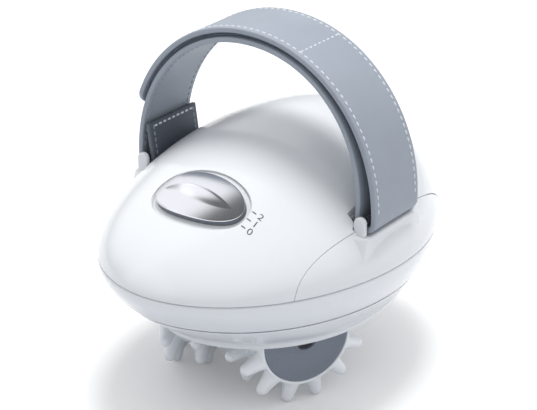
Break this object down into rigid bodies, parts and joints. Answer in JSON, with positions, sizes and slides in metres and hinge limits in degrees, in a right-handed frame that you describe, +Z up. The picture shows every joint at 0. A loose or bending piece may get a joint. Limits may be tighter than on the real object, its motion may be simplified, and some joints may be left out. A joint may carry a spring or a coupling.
{
  "type": "anti-cellulite massager",
  "caption": "Hand-held body massager: egg-shaped housing with a sliding switch, a hand strap and two toed-in rollers with rings of soft studs, driven by a worm.",
  "frame": {"origin": "on the surface that the studs rest on, below the middle of the bounding box", "axes": "+X towards the strap's turn-back bar, -Y towards the narrow end with the switch, +Z up, away from the rollers"},
  "size_m": [0.1116, 0.15, 0.1343],
  "materials": {
    "housing": "glossy white plastic",
    "sleeve": "smooth white soft plastic",
    "disc": "satin slate-grey plastic",
    "core": "turned",
    "steel": "zinc-plated steel",
    "knob": "satin silver lacquer",
    "inner_plastic": "black plastic",
    "board": "green lacquered board",
    "gear_case": "die-cast",
    "gears": "natural nylon",
    "bush": "sintered bearing bronze",
    "strap": "soft grey imitation leather",
    "tape": "hook-and-loop tape",
    "gland": "grey rubber"
  },
  "bodies": {
    "housing": {"top_cover": "housing", "side_cover_right": "housing", "side_cover_left": "housing", "lower_housing": "housing", "base_plate": "housing", "base_screws": "steel", "cord_gland": "gland", "strap_bar_right": "steel", "strap_bar_left": "steel", "strap_band": "strap", "strap_loop_tape": "tape", "strap_hook_tape": "tape", "switch_body": "inner_plastic", "circuit_board": "board", "gearbox_housing": "gear_case", "gearbox_cap": "gear_case", "motor_can": "steel", "shaft_bush_right": "bush", "shaft_bush_left": "bush"},
    "switch": {"switch_knob": "knob", "switch_slider": "inner_plastic"},
    "right_roller": {"roller_sleeve_right": "sleeve", "roller_core_right": "core", "outer_disc_right": "disc", "inner_disc_right": "disc", "roller_shaft_right": "steel", "end_screw_right": "steel", "worm_wheel_right": "gears"},
    "left_roller": {"roller_sleeve_left": "sleeve", "roller_core_left": "core", "outer_disc_left": "disc", "inner_disc_left": "disc", "roller_shaft_left": "steel", "end_screw_left": "steel", "worm_wheel_left": "gears"},
    "rotor": {"motor_shaft": "steel", "worm": "gears"}
  },
  "joints": [
    {"name": "right_roller_spin", "type": "hinge", "parent": "housing", "child": "right_roller", "pos_m": [0.032, -0.0212, 0.02599], "axis": [0.9011, -0.4337, 0], "continuous": true},
    {"name": "left_roller_spin", "type": "hinge", "parent": "housing", "child": "left_roller", "pos_m": [-0.032, -0.0212, 0.02599], "axis": [0.9011, 0.4337, 0], "continuous": true},
    {"name": "motor_spin", "type": "hinge", "parent": "housing", "child": "rotor", "pos_m": [0, -0.02245, 0.02599], "axis": [0, 0, 1], "continuous": true},
    {"name": "knob_slide", "type": "slide", "parent": "housing", "child": "switch", "axis": [0, 0.9135, 0.4067], "range_m": [-0.0021, 0.0021]}
  ],
  "couplings": [
    {"joint": "left_roller_spin", "follows": "right_roller_spin", "ratio": 1},
    {"joint": "motor_spin", "follows": "right_roller_spin", "ratio": 18}
  ]
}
